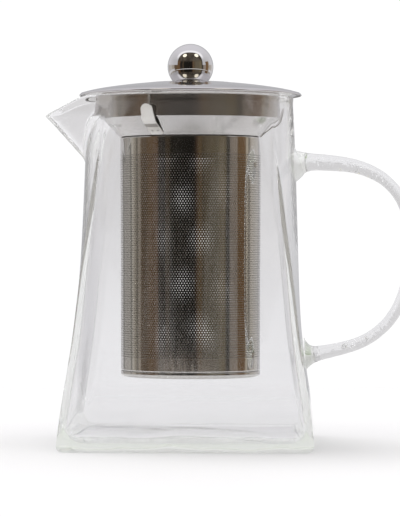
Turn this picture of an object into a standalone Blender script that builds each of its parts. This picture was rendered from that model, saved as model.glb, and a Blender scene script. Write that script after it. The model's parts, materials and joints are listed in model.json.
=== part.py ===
"""Square-based glass teapot with a lift-out steel infuser and a pressed steel lid.

The jug is one blown glass vessel: a square foot that turns into a round mouth,
with a pulled spout on -X and a glass rod handle on +X.  A steel basket hangs in
the mouth from a flange that rests on the glass lip, with three spring clips on
its collar.  The lid is a shallow pressed dome with a locating ring underneath
and a ball knob held by a screw.

Frame: origin at the centre of the underside, +Z up, handle +X, spout -X.
Dimensions are in millimetres, angles in degrees; MM turns lengths into metres.
"""
import bpy
import bmesh
import numpy as np
from math import asin, atan2, cos, degrees, hypot, pi, radians, sin

MM = 0.001
MERGE_DISTANCE = 0.00001    # metres; points closer than this are welded
NAME = "teapot"

# ---------------------------------------------------------------- glass jug
# A section is four crowned sides joined by four corner arcs: it is square at the
# foot, keeps a ridge at each corner nearly up to the neck, and ends round.
# (height, half width at mid side, corner radius, turn of half a side)
SECTIONS = (
    (0.0, 51.35, 2.6, 0.8), (13.0, 49.95, 3.0, 0.9), (30.0, 47.55, 3.6, 1.3),
    (46.5, 45.5, 4.2, 2.2), (58.8, 44.75, 4.8, 4.0), (71.6, 44.3, 5.6, 7.1),
    (81.0, 44.05, 6.5, 10.3), (98.0, 43.55, 9.0, 16.2), (107.0, 43.3, 11.5, 19.8),
    (115.0, 43.05, 14.5, 23.7), (125.0, 42.7, 20.0, 28.5), (132.0, 42.35, 27.0, 32.0),
    (138.0, 42.0, 36.0, 35.0), (143.0, 41.8, 41.0, 36.0))
SIDE_STEPS = 4              # divisions of half a side
CORNER_STEPS = 4            # divisions of a corner
WALL = 2.1                  # glass thickness in the wall
FLOOR = 3.0                 # glass thickness in the bottom
MIN_INNER_CORNER = 3.0
HEEL_RADIUS = 3.0           # rounding where wall and underside meet
HEEL_TURNS = (0.0, 35.0, 65.0, 90.0)
HEEL_CORNER_SHARE = 0.35    # loss of corner radius per unit of inset round the heel
MIN_HEEL_CORNER = 1.6
INNER_HEEL = 8.0            # rounding where wall and floor meet inside
INNER_HEEL_TURNS = (90.0, 55.0, 25.0, 0.0)
LIP_Z = 142.1               # top of the lip
LIP_BEAD = 0.9              # how far the fire-polished bead stands out
RISE_FROM_Z = 107.0         # above this height the rings follow the lip line
# nominal heights of the wall's rings: up the outside, then down the inside
OUTER_HEIGHTS = (15.0, 31.0, 47.0, 61.0, 72.0, 83.0, 95.0, 107.0,
                 112.0, 116.0, 120.0, 124.5, 129.0, 133.5)
INNER_HEIGHTS = (136.0, 130.0, 124.5, 120.0, 116.0, 107.0,
                 95.0, 83.0, 72.0, 61.0, 47.0, 31.0, 15.0)
# (drop below the lip line, inset from the outside), from outside to inside
LIP_RINGS = ((4.2, -0.05), (1.8, -LIP_BEAD), (0.4, -0.55),
             (0.0, 0.45), (0.4, 1.55), (2.2, WALL))

SPOUT_ROOT_X = 43.4         # where the spout leaves the wall; distances towards -X
SPOUT_ROOT_Z = 116.5
SPOUT_TIP_X = 60.2
SPOUT_TIP_Z = 134.6
SPOUT_TIP_BLEND = 1.0       # softening where the beak stops reaching out
SPOUT_HALF_ANGLE = 40.0     # half the angle between the beak's two cheeks
SPOUT_NOSE = 2.4            # rounding of the beak's nose
SPOUT_LIMIT = 70.0          # the wall is left alone further than this from -X
SPOUT_BLEND = 1.4           # softening where the beak meets the wall
SPOUT_WALL = 3.5            # set-back of the inner beak from the outer beak
LIP_SLOPE = 0.435           # rise of the spout's edge towards the mouth
LIP_BLEND = 1.0             # softening where that edge meets the level lip

# ---------------------------------------------------------------- handle
HANDLE_OVAL = 1.28          # width of the rod's section against its thickness
HANDLE_SIDES = 12
# (x, z, thickness in the plane of the handle), from the top end to the bottom end
HANDLE_PATH = (
    (43.81, 113.15, 13.0), (45.34, 113.15, 9.4), (47.6, 113.1, 7.1), (51.5, 113.0, 6.5),
    (57.0, 112.7, 6.2), (62.0, 112.2, 5.8), (66.6, 111.4, 5.5), (71.0, 110.1, 5.2),
    (75.0, 108.3, 5.0), (78.6, 106.1, 4.8), (81.8, 103.2, 4.6), (84.6, 99.8, 4.5),
    (86.8, 95.8, 4.5), (88.4, 91.2, 4.5), (89.2, 86.0, 4.5), (89.5, 80.0, 4.5),
    (89.3, 74.0, 4.5), (88.7, 68.0, 4.5), (87.6, 62.5, 4.5), (86.0, 57.3, 4.5),
    (83.8, 52.6, 4.5), (80.9, 48.3, 4.5), (77.3, 44.6, 4.6), (73.0, 41.4, 4.7),
    (68.2, 39.0, 4.8), (62.6, 37.2, 5.0), (57.1, 35.9, 5.2), (53.2, 35.1, 5.8),
    (50.65, 34.55, 7.2), (49.05, 34.35, 9.2), (48.0, 34.22, 11.6))

# ---------------------------------------------------------------- infuser
TURN_STEPS = 40             # divisions of a turned piece
SHEET = 0.5
FLANGE_R = 43.3
FLANGE_Z = LIP_Z + 0.35     # underside of the flange, just clear of the lip
BAND_R = 36.7               # outside of the neck band
BAND_LOW_Z = 132.6
BAND_INNER_LOW_Z = BAND_LOW_Z + 0.25
CONE_END_R = 28.6
CONE_END_Z = 125.9
TUBE_R = 28.5
TUBE_HIGH_Z = 125.0
TUBE_LOW_Z = 30.4
SPIGOT_CLEAR = 0.3
SPIGOT_R = TUBE_R - SHEET - SPIGOT_CLEAR    # collar and base cap plug into the tube
SPIGOT_HIGH_Z = CONE_END_Z - 0.7
SPIGOT_INNER_HIGH_Z = CONE_END_Z - 0.4
SPIGOT_LOW_Z = 121.5
BASE_LOW_Z = 27.7
BASE_HIGH_Z = TUBE_LOW_Z - 0.35             # shoulder, just below the tube
BASE_SPIGOT_HIGH_Z = TUBE_LOW_Z + 3.4
BASE_RADIUS = 2.0           # rounded outer edge of the base cap
BASE_EDGE_STEPS = 3
BASE_CHAMFER = 1.6          # bevel between the cap's floor and its wall, inside

# ---------------------------------------------------------------- clips
CLIP_WIDTH = 5.6
CLIP_SHEET = 0.4
# (radius, height, share of the full width)
CLIP_PATH = (
    (29.4, 125.85, 1.0), (31.0, 127.1, 1.0), (32.8, 128.25, 1.0), (34.8, 129.3, 1.0),
    (36.4, 130.5, 1.0), (37.6, 131.9, 1.0), (38.2, 133.6, 1.0), (38.5, 135.4, 1.0),
    (38.65, 136.6, 0.78), (38.75, 137.5, 0.36))
CLIP_PIVOT = CLIP_PATH[1][:2]               # where the strip starts to bend
CLIP_NAMES = ("spring_clip_right", "spring_clip_back", "spring_clip_front")
FIRST_CLIP_BEARING = 6.2                    # anticlockwise from +X
CLIP_PITCH = 360.0 / len(CLIP_NAMES)

# ---------------------------------------------------------------- lid
LID_R = 45.5
LID_SHEET = 0.6
LID_HOLE_R = 2.5
# (radius, height) of the upper face, from the edge to the hole
LID_CROWN = ((45.1, 143.35), (42.5, 144.1), (39.5, 144.8), (33.4, 145.8), (25.0, 146.9),
             (10.0, 148.05), (LID_HOLE_R, 148.2))
RIM_HIGH_Z = 142.95
RIM_LOW_Z = 142.35
RING_CLEAR = 0.6
RING_R = BAND_R - SHEET - RING_CLEAR        # locating ring, inside the neck band
RING_HIGH_Z = 144.45
RING_LOW_Z = 134.4
RING_FOLD_R = 32.4                          # inner edge of the ring's top fold
RING_FOLD_Z = RING_HIGH_Z + 0.02            # underside of the fold at that edge

KNOB_R = 9.4
KNOB_Z = 154.4
KNOB_FOOT_Z = 148.55
KNOB_STEPS = 32
KNOB_ARC_STEPS = 14
THREAD_R = 2.0              # M4
THREAD_HOLE_R = THREAD_R + 0.3
FIXING_STEPS = 24           # divisions of the screw and the washer
SCREW_TOP_Z = 156.0
SCREW_TIP_CHAMFER = (0.3, 0.4)              # (radial, vertical)
HOLE_WALL_HIGH_Z = SCREW_TOP_Z + 0.5        # blind hole in the knob: top of its wall
HOLE_TIP_Z = SCREW_TOP_Z + 1.4              # and its conical end
HEAD_R = 3.6
HEAD_HIGH_Z = 146.25
HEAD_LOW_Z = 144.1
HEAD_CHAMFER = (1.1, 0.9)                   # (radial, vertical)
WASHER_R = 5.0
WASHER_HIGH_Z = 147.3
WASHER_LOW_Z = 146.55


# ================================================================ scene
def clear_scene():
    for obj in list(bpy.data.objects):
        bpy.data.objects.remove(obj, do_unlink=True)


def collection(name):
    made = bpy.data.collections.new(name)
    bpy.context.scene.collection.children.link(made)
    return made


clear_scene()
parts = collection(NAME)
guides = collection(NAME + "_guides")


def add(name, mesh, mat, sharp_angle=None):
    """Link a mesh as a part; one that has faces is shaded smooth up to sharp_angle."""
    obj = bpy.data.objects.new(name, mesh)
    parts.objects.link(obj)
    mesh.materials.append(mat)
    if sharp_angle is not None:
        mesh.shade_smooth()
        mesh.set_sharp_from_angle(angle=radians(sharp_angle))
    return obj


# ================================================================ materials
def material(name, colour, roughness, metallic, transmission=0.0):
    mat = bpy.data.materials.new(name)
    mat.use_nodes = True
    shader = mat.node_tree.nodes["Principled BSDF"]
    settings = {"Base Color": (*colour, 1.0), "Roughness": roughness, "Metallic": metallic,
                "Transmission Weight": transmission, "IOR": 1.47}
    for socket, value in settings.items():
        shader.inputs[socket].default_value = value
    mat.diffuse_color = (*colour, 1.0)
    return mat


def steel(name, colour, roughness):
    return material(name, colour=colour, roughness=roughness, metallic=1.0)


# ================================================================ turned pieces
def turned(name, profile, mat, steps=TURN_STEPS, closed=True):
    """A profile of (radius, height) points turned about the Z axis.

    A closed profile makes a ring; an open one starts and ends on the axis and
    makes a solid.
    """
    points = [(radius * MM, 0.0, z * MM) for radius, z in profile]
    edges = [(i, i + 1) for i in range(len(points) - 1)]
    if closed:
        edges.append((len(points) - 1, 0))
    mesh = bpy.data.meshes.new(name)
    mesh.from_pydata(points, edges, [])
    screw = add(name, mesh, mat).modifiers.new("turn", "SCREW")
    screw.axis = "Z"
    screw.angle = 2.0 * pi
    screw.steps = steps
    screw.render_steps = steps
    screw.use_merge_vertices = True
    screw.merge_threshold = MERGE_DISTANCE
    screw.use_smooth_shade = True


def arc(centre_r, centre_z, radius, start, end, count):
    """Points on a circle in the (radius, height) plane."""
    found = []
    for i in range(count + 1):
        angle = radians(start + (end - start) * i / count)
        found.append((centre_r + radius * cos(angle), centre_z + radius * sin(angle)))
    return found


# ================================================================ glass jug
def section_values(z):
    """(half width, corner radius, side turn) of the outside at a height."""
    heights, *columns = zip(*SECTIONS)
    return [np.interp(z, heights, column) for column in columns]


def section_directions():
    """(quadrant, piece of the section, share of it) of each point round the section."""
    found = []
    for quadrant in range(4):
        found.extend((quadrant, "first side", i / SIDE_STEPS) for i in range(SIDE_STEPS))
        found.extend((quadrant, "corner", i / CORNER_STEPS) for i in range(CORNER_STEPS + 1))
        found.extend((quadrant, "second side", i / SIDE_STEPS) for i in range(1, SIDE_STEPS))
    return found


def section_point(direction, z, inset=0.0, corner=None):
    """A point of the section at a height, inset from the outside."""
    quadrant, piece, share = direction
    half, outer_corner, turn = section_values(z)
    half -= inset
    if corner is None:
        corner = outer_corner - inset
    end = radians(turn)
    span = cos(end) - sin(end)
    side_r = (half - span * corner) / (1.0 - span)
    if piece == "corner":
        angle = end + (0.5 * pi - 2.0 * end) * share
        centre = (side_r - corner) * sin(end)
        x, y = centre + corner * cos(angle), centre + corner * sin(angle)
    else:
        angle = end * (share if piece == "first side" else 1.0 - share)
        x, y = half - side_r + side_r * cos(angle), side_r * sin(angle)
        if piece == "second side":
            x, y = y, x
    for _ in range(quadrant):
        x, y = -y, x
    return x, y


def soft_max(first, second, blend):
    overlap = max(blend - abs(first - second), 0.0) / blend
    return max(first, second) + overlap * overlap * blend * 0.25


def soft_min(first, second, blend):
    return -soft_max(-first, -second, blend)


def with_spout(x, y, z, set_back=0.0):
    """Push a point of the wall out to the spout where the spout stands prouder."""
    off_axis = abs(atan2(y, -x))
    if off_axis > radians(SPOUT_LIMIT):
        return x, y
    slope = (SPOUT_TIP_X - SPOUT_ROOT_X) / (SPOUT_TIP_Z - SPOUT_ROOT_Z)
    rising = SPOUT_ROOT_X + (z - SPOUT_ROOT_Z) * slope
    reach = soft_min(rising, SPOUT_TIP_X, SPOUT_TIP_BLEND) - set_back
    cheek, nose = radians(SPOUT_HALF_ANGLE), radians(SPOUT_NOSE)
    beak = reach * sin(cheek + nose) / sin(cheek + hypot(off_axis, nose))
    radius = hypot(x, y)
    scale = soft_max(radius, beak, SPOUT_BLEND) / radius
    return x * scale, y * scale


def lip_height(direction):
    """Height of the lip line: level, but falling to the tip along the spout."""
    x, _ = with_spout(*section_point(direction, LIP_Z), LIP_Z)
    edge = SPOUT_TIP_Z + LIP_SLOPE * (SPOUT_TIP_X + x)
    return soft_min(edge, LIP_Z, LIP_BLEND)


def ring_height(z, lip):
    """Nominal height z, stretched above RISE_FROM_Z to follow the lip line."""
    if z <= RISE_FROM_Z:
        return z
    return RISE_FROM_Z + (z - RISE_FROM_Z) * (lip - RISE_FROM_Z) / (LIP_Z - RISE_FROM_Z)


def heel_point(radius, turn):
    """(height, inset) on a quarter round, from its flat (0) to its upright end (90)."""
    angle = radians(turn)
    return radius * (1.0 - cos(angle)), radius * (1.0 - sin(angle))


def glass_jug(mat):
    around = section_directions()
    lips = [lip_height(direction) for direction in around]
    rings = []

    def ring(heights, inset=0.0, corner=None):
        points = []
        for direction, z in zip(around, heights):
            radius = corner
            if radius is None and inset > 0.0:
                radius = max(section_values(z)[1] - inset, MIN_INNER_CORNER)
            x, y = section_point(direction, z, inset, radius)
            inner_share = min(1.0, max(0.0, inset / WALL))
            x, y = with_spout(x, y, z, SPOUT_WALL * inner_share)
            points.append((x * MM, y * MM, z * MM))
        rings.append(points)

    def wall_ring(z, inset=0.0, corner=None):
        ring([ring_height(z, lip) for lip in lips], inset, corner)

    # up the outside from the flat underside, over the lip and down to the inner floor
    foot_corner = section_values(0.0)[1]
    for turn in HEEL_TURNS:
        z, inset = heel_point(HEEL_RADIUS, turn)
        wall_ring(z, inset, max(MIN_HEEL_CORNER, foot_corner - HEEL_CORNER_SHARE * inset))
    for z in OUTER_HEIGHTS:
        wall_ring(z)
    for drop, inset in LIP_RINGS:
        ring([lip - drop for lip in lips], inset)
    for z in INNER_HEIGHTS:
        wall_ring(z, WALL)
    for turn in INNER_HEEL_TURNS:
        z, inset = heel_point(INNER_HEEL, turn)
        wall_ring(FLOOR + z, WALL + inset)

    count = len(around)
    verts = [point for points in rings for point in points]
    faces = []
    for start in range(0, len(verts) - count, count):
        for i in range(count):
            here, beside = start + i, start + (i + 1) % count
            faces.append((here, beside, beside + count, here + count))
    faces.append(tuple(range(count - 1, -1, -1)))                     # underside
    faces.append(tuple(range(len(verts) - count, len(verts))))        # inner floor
    mesh = bpy.data.meshes.new("glass_jug")
    mesh.from_pydata(verts, [], faces)
    mesh.validate()
    add("glass_jug", mesh, mat, sharp_angle=35.0)


# ================================================================ handle
def handle_section():
    """Oval of unit thickness, scaled along the handle by the path's radii."""
    oval = bpy.data.curves.new("handle_section", "CURVE")
    oval.dimensions = "2D"
    spline = oval.splines.new("POLY")
    spline.points.add(HANDLE_SIDES - 1)
    for i, point in enumerate(spline.points):
        angle = 2.0 * pi * i / HANDLE_SIDES
        point.co = (0.5 * cos(angle) * MM, 0.5 * HANDLE_OVAL * sin(angle) * MM, 0.0, 1.0)
    spline.use_cyclic_u = True
    section = bpy.data.objects.new("handle_section", oval)
    guides.objects.link(section)
    section.hide_render = True
    section.display_type = "WIRE"
    return section


def handle(mat):
    """A glass rod bent to a D, with an oval section that flares at each end."""
    curve = bpy.data.curves.new("handle", "CURVE")
    curve.dimensions = "3D"
    curve.twist_mode = "MINIMUM"
    curve.bevel_mode = "OBJECT"
    curve.bevel_object = handle_section()
    curve.use_fill_caps = True
    path = curve.splines.new("POLY")
    path.points.add(len(HANDLE_PATH) - 1)
    for point, (x, z, thickness) in zip(path.points, HANDLE_PATH):
        point.co = (x * MM, 0.0, z * MM, 1.0)
        point.radius = thickness
    rod = bpy.data.objects.new("handle", curve)
    parts.objects.link(rod)

    # made a mesh, so that its end caps are welded to the rod
    bpy.context.view_layer.update()
    depsgraph = bpy.context.evaluated_depsgraph_get()
    mesh = bpy.data.meshes.new_from_object(rod.evaluated_get(depsgraph))
    bpy.data.objects.remove(rod, do_unlink=True)
    work = bmesh.new()
    work.from_mesh(mesh)
    bmesh.ops.remove_doubles(work, verts=work.verts, dist=MERGE_DISTANCE)
    bmesh.ops.recalc_face_normals(work, faces=work.faces)
    work.to_mesh(mesh)
    work.free()
    mesh.name = "handle"
    add("handle", mesh, mat, sharp_angle=50.0)


# ================================================================ infuser
def infuser_collar(mat):
    """Flange on the glass lip, upright band, cone and a short spigot into the tube."""
    turned("infuser_collar", [
        (FLANGE_R, FLANGE_Z + SHEET), (FLANGE_R, FLANGE_Z),
        (BAND_R, FLANGE_Z), (BAND_R, BAND_LOW_Z),
        (CONE_END_R, CONE_END_Z), (SPIGOT_R, SPIGOT_HIGH_Z), (SPIGOT_R, SPIGOT_LOW_Z),
        (SPIGOT_R - SHEET, SPIGOT_LOW_Z), (SPIGOT_R - SHEET, SPIGOT_INNER_HIGH_Z),
        (BAND_R - SHEET, BAND_INNER_LOW_Z), (BAND_R - SHEET, FLANGE_Z + SHEET)], mat)


def strainer_tube(mat):
    turned("strainer_tube", [
        (TUBE_R, TUBE_HIGH_Z), (TUBE_R, TUBE_LOW_Z),
        (TUBE_R - SHEET, TUBE_LOW_Z), (TUBE_R - SHEET, TUBE_HIGH_Z)], mat)


def strainer_base(mat):
    """A shallow pressed cup with a rounded edge, spigoted into the tube."""
    inner_r = SPIGOT_R - SHEET
    floor_z = BASE_LOW_Z + SHEET
    profile = [
        (0.0, floor_z), (inner_r - BASE_CHAMFER, floor_z), (inner_r, floor_z + BASE_CHAMFER),
        (inner_r, BASE_SPIGOT_HIGH_Z), (SPIGOT_R, BASE_SPIGOT_HIGH_Z),
        (SPIGOT_R, BASE_HIGH_Z), (TUBE_R, BASE_HIGH_Z)]
    profile += arc(TUBE_R - BASE_RADIUS, BASE_LOW_Z + BASE_RADIUS, BASE_RADIUS,
                   start=0.0, end=-90.0, count=BASE_EDGE_STEPS)
    profile.append((0.0, BASE_LOW_Z))
    turned("strainer_base", profile, mat, closed=False)


def spring_clip(name, bearing, mat):
    """A bent strip; its origin is on the line where it starts to bend."""
    pivot_r, pivot_z = CLIP_PIVOT
    verts, faces = [], []
    for radius, z, share in CLIP_PATH:
        half_width = 0.5 * CLIP_WIDTH * share
        for y in (-half_width, 0.0, half_width):
            verts.append(((radius - pivot_r) * MM, y * MM, (z - pivot_z) * MM))
    for row in range(len(CLIP_PATH) - 1):
        for column in range(2):
            i = 3 * row + column
            faces.append((i, i + 1, i + 4, i + 3))
    mesh = bpy.data.meshes.new(name)
    mesh.from_pydata(verts, [], faces)
    obj = add(name, mesh, mat, sharp_angle=60.0)
    shell = obj.modifiers.new("sheet", "SOLIDIFY")
    shell.thickness = CLIP_SHEET * MM
    shell.offset = 0.0
    shell.use_even_offset = True
    angle = radians(bearing)
    obj.location = (pivot_r * cos(angle) * MM, pivot_r * sin(angle) * MM, pivot_z * MM)
    obj.rotation_euler = (0.0, 0.0, angle)


# ================================================================ lid
def lid_cover(mat):
    """A shallow dome whose edge is turned down."""
    rim = [(LID_R, RIM_HIGH_Z), (LID_R, RIM_LOW_Z), (LID_R - LID_SHEET, RIM_LOW_Z)]
    underside = [(radius, z - LID_SHEET) for radius, z in LID_CROWN[1:]]
    turned("lid_cover", list(reversed(LID_CROWN)) + rim + underside, mat)


def lid_ring(mat):
    turned("lid_ring", [
        (RING_R, RING_HIGH_Z), (RING_R, RING_LOW_Z), (RING_R - SHEET, RING_LOW_Z),
        (RING_R - SHEET, RING_HIGH_Z - SHEET), (RING_FOLD_R, RING_FOLD_Z),
        (RING_FOLD_R, RING_FOLD_Z + SHEET)], mat)


def knob(mat):
    """A ball cut flat at the foot, with a blind hole for the screw."""
    foot_turn = -degrees(asin((KNOB_Z - KNOB_FOOT_Z) / KNOB_R))
    ball = arc(0.0, KNOB_Z, KNOB_R, start=90.0, end=foot_turn, count=KNOB_ARC_STEPS)
    ball[0] = (0.0, KNOB_Z + KNOB_R)        # exactly on the axis
    hole = [(THREAD_HOLE_R, KNOB_FOOT_Z), (THREAD_HOLE_R, HOLE_WALL_HIGH_Z), (0.0, HOLE_TIP_Z)]
    turned("knob", ball + hole, mat, steps=KNOB_STEPS, closed=False)


def knob_screw(mat):
    """An upright screw with its head below the lid."""
    tip_in, tip_down = SCREW_TIP_CHAMFER
    head_in, head_up = HEAD_CHAMFER
    turned("knob_screw", [
        (0.0, SCREW_TOP_Z), (THREAD_R - tip_in, SCREW_TOP_Z), (THREAD_R, SCREW_TOP_Z - tip_down),
        (THREAD_R, HEAD_HIGH_Z), (HEAD_R, HEAD_HIGH_Z), (HEAD_R, HEAD_LOW_Z + head_up),
        (HEAD_R - head_in, HEAD_LOW_Z), (0.0, HEAD_LOW_Z)],
        mat, steps=FIXING_STEPS, closed=False)


def knob_washer(mat):
    turned("knob_washer", [
        (WASHER_R, WASHER_HIGH_Z), (WASHER_R, WASHER_LOW_Z),
        (THREAD_HOLE_R, WASHER_LOW_Z), (THREAD_HOLE_R, WASHER_HIGH_Z)],
        mat, steps=FIXING_STEPS)


# ================================================================ build
glass = material("clear_glass", colour=(0.93, 0.96, 0.93), roughness=0.02, metallic=0.0,
                 transmission=1.0)
polished = steel("polished_steel", colour=(0.74, 0.73, 0.71), roughness=0.07)
brushed = steel("brushed_steel", colour=(0.60, 0.59, 0.57), roughness=0.30)
spring = steel("spring_steel", colour=(0.70, 0.69, 0.66), roughness=0.24)
mirror = steel("mirror_steel", colour=(0.80, 0.79, 0.78), roughness=0.03)
fixing = steel("plated_fixing", colour=(0.66, 0.65, 0.63), roughness=0.22)

glass_jug(glass)
handle(glass)
infuser_collar(brushed)
strainer_tube(polished)
strainer_base(polished)
for number, clip_name in enumerate(CLIP_NAMES):
    spring_clip(clip_name, FIRST_CLIP_BEARING + number * CLIP_PITCH, spring)
lid_cover(polished)
lid_ring(brushed)
knob(mirror)
knob_screw(fixing)
knob_washer(fixing)
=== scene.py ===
"""A square-footed glass teapot with a perforated steel infuser, a domed steel lid and a ball knob.

The pot stands on the floor at z = 0 with its axis on Z.  The spout points to -X, the handle
to +X, and the camera looks along +Y.  Piece sizes are in millimetres, the stage is in metres.
"""
import json
from math import sin, cos, tan, exp, radians, degrees, pi, sqrt, atan2, hypot
import bpy
import bmesh
import numpy as np
from mathutils import Vector, Matrix


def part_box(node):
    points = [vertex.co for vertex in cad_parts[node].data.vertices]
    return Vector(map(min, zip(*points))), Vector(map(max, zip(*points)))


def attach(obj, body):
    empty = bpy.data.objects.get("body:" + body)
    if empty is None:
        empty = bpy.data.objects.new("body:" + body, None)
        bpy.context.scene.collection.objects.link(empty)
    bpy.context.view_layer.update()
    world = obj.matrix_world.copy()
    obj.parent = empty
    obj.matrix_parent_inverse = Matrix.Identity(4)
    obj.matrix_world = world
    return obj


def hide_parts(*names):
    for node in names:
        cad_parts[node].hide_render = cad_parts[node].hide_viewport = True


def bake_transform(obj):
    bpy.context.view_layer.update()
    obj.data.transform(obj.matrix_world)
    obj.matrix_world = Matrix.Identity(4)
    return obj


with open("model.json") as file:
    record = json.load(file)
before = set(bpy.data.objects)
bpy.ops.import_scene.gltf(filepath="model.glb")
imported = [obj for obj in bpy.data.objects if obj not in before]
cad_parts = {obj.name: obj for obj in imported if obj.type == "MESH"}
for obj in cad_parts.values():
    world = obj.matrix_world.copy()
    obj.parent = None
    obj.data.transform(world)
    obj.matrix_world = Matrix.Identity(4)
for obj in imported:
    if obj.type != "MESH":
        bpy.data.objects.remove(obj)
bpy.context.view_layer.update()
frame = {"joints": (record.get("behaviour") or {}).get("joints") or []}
MM = 0.001


def node_box(name):
    """The low and high corners of a CAD piece, in millimetres."""
    low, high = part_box(name)
    return (np.array(low) / MM).tolist(), (np.array(high) / MM).tolist()


def register(obj, body, slot, *nodes):
    """Tell the frame what the piece moves with and the CAD pieces it replaces; slot is not used."""
    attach(obj, body)
    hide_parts(*nodes)


# ================================================================ shader nodes
def arithmetic(operation, swapped=False):
    """A Python operator that adds a Math node."""
    def method(wire, other=0.0):
        first, second = (other, wire) if swapped else (wire, other)
        return wire.nodes.math(operation, first, second)
    return method


class Wire:
    """A node's output.  Arithmetic on it adds Math nodes; wire["name"] is another output."""

    def __init__(self, nodes, node, output=0):
        self.nodes, self.node, self.output = nodes, node, output

    def __getitem__(self, name):
        return Wire(self.nodes, self.node, name)

    __add__ = arithmetic("ADD")
    __radd__ = arithmetic("ADD", swapped=True)
    __sub__ = arithmetic("SUBTRACT")
    __rsub__ = arithmetic("SUBTRACT", swapped=True)
    __mul__ = arithmetic("MULTIPLY")
    __truediv__ = arithmetic("DIVIDE")
    __pow__ = arithmetic("POWER")
    __lt__ = arithmetic("LESS_THAN")
    __gt__ = arithmetic("GREATER_THAN")
    __abs__ = arithmetic("ABSOLUTE")


class Nodes:
    """The emptied node tree of a material or world, with short ways to fill it."""

    def __init__(self, owner):
        owner.use_nodes = True
        self.tree = owner.node_tree
        self.tree.nodes.clear()

    def add(self, kind, inputs=(), **settings):
        """A node with its settings, and its inputs by name or number."""
        node = self.tree.nodes.new("ShaderNode" + kind)
        for key, value in settings.items():
            setattr(node, key, value)
        for key, value in dict(inputs).items():
            socket = node.inputs[key]
            if isinstance(value, Wire):
                self.tree.links.new(value.node.outputs[value.output], socket)
            else:
                socket.default_value = (*value, 1.0) if socket.type == "RGBA" else value
        return Wire(self, node)

    def math(self, operation, first, second=0.0):
        return self.add("Math", {0: first, 1: second, 2: 0.0}, operation=operation)

    def remap(self, value, over, to, interpolation):
        return self.add("MapRange", {"Value": value, "From Min": over[0], "From Max": over[1],
                                     "To Min": to[0], "To Max": to[1]},
                        interpolation_type=interpolation)["Result"]

    def smooth(self, value, over, to=(0.0, 1.0)):
        return self.remap(value, over, to, "SMOOTHSTEP")

    def linear(self, value, over, to=(0.0, 1.0)):
        return self.remap(value, over, to, "LINEAR")

    def mix(self, share, first, second):
        """A mix of two colours; the numbers are the Mix node's colour sockets."""
        return self.add("Mix", {0: share, 6: first, 7: second}, data_type="RGBA")[2]

    def mix_shaders(self, share, first, second):
        return self.add("MixShader", {0: share, 1: first, 2: second})

    def ramp(self, value, stops):
        wire = self.add("ValToRGB", {0: value})
        elements = wire.node.color_ramp.elements
        while len(elements) < len(stops):
            elements.new(0.5)
        for element, (position, colour) in zip(elements, stops):
            element.position = position
            element.color = (*colour, 1.0)
        return wire["Color"]

    def noise(self, vector, scale, detail, roughness, distortion=0.0):
        return self.add("TexNoise", {"Vector": vector, "Scale": scale, "Detail": detail,
                                     "Roughness": roughness, "Distortion": distortion})["Fac"]

    def stretch(self, vector, scale):
        return self.add("Mapping", {"Vector": vector, "Scale": scale})

    def bump(self, height, distance, strength=1.0, **normal):
        return self.add("Bump", {"Strength": strength, "Distance": distance,
                                 "Height": height, **normal})

    def split(self, vector):
        parts = self.add("SeparateXYZ", {0: vector})
        return [parts[axis] for axis in "XYZ"]

    def axis_distance(self, x, y):
        return self.math("SQRT", x * x + y * y)


def new_material(name):
    material = bpy.data.materials.new(name)
    return material, Nodes(material)


# ================================================================ materials
def steel(name, colour, roughness, grain, depth, lay, spread):
    """Stainless steel whose polishing lines lie round the piece, along it, or round a disc."""
    material, nodes = new_material(name)
    place = nodes.add("TexCoord")["Object"]
    x, y, z = nodes.split(place)
    # how fast the line pattern changes with angle, with radius and with height
    fine = 1000.0 * grain
    by_angle, by_radius, by_height = {
        "round": (0.35, fine, fine),
        "along": (28.0 * grain, 40.0, 18.0),
        "disc": (0.25, fine, 60.0)}[lay]
    polar = nodes.add("CombineXYZ", {0: nodes.math("ARCTAN2", y, x) * by_angle,
                                     1: nodes.axis_distance(x, y) * by_radius,
                                     2: z * by_height})
    lines = nodes.noise(polar, scale=1.0, detail=4.0, roughness=0.62)
    cloud = nodes.noise(place, scale=46.0, detail=3.0, roughness=0.55)
    smudge = nodes.noise(place, scale=150.0, detail=2.0, roughness=0.5)
    dark = tuple(channel * 0.90 for channel in colour)
    light = tuple(min(1.0, channel * 1.06) for channel in colour)
    shade = lines * 0.10 + cloud * 0.06
    uneven = (roughness - 0.5 * spread) + (cloud * spread + smudge * (spread * 0.6))
    shader = nodes.add("BsdfPrincipled", {
        "Base Color": nodes.ramp(shade, ((0.0, dark), (0.08, colour), (0.16, light))),
        "Metallic": 1.0,
        "Roughness": nodes.math("MAXIMUM", uneven, 0.015),
        "Normal": nodes.bump(lines, distance=depth * MM)})
    nodes.add("OutputMaterial", {"Surface": shader})
    return material


TRAP_ESCAPE = 0.85               # share of the light trapped in the glass that gets out
TRAP_COSINES = (0.735, 0.715)    # slant over which total reflection inside the glass sets in
SEE_THROUGH = (0.885, 0.89, 0.885)   # the glass as shadow and diffuse rays meet it


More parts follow.
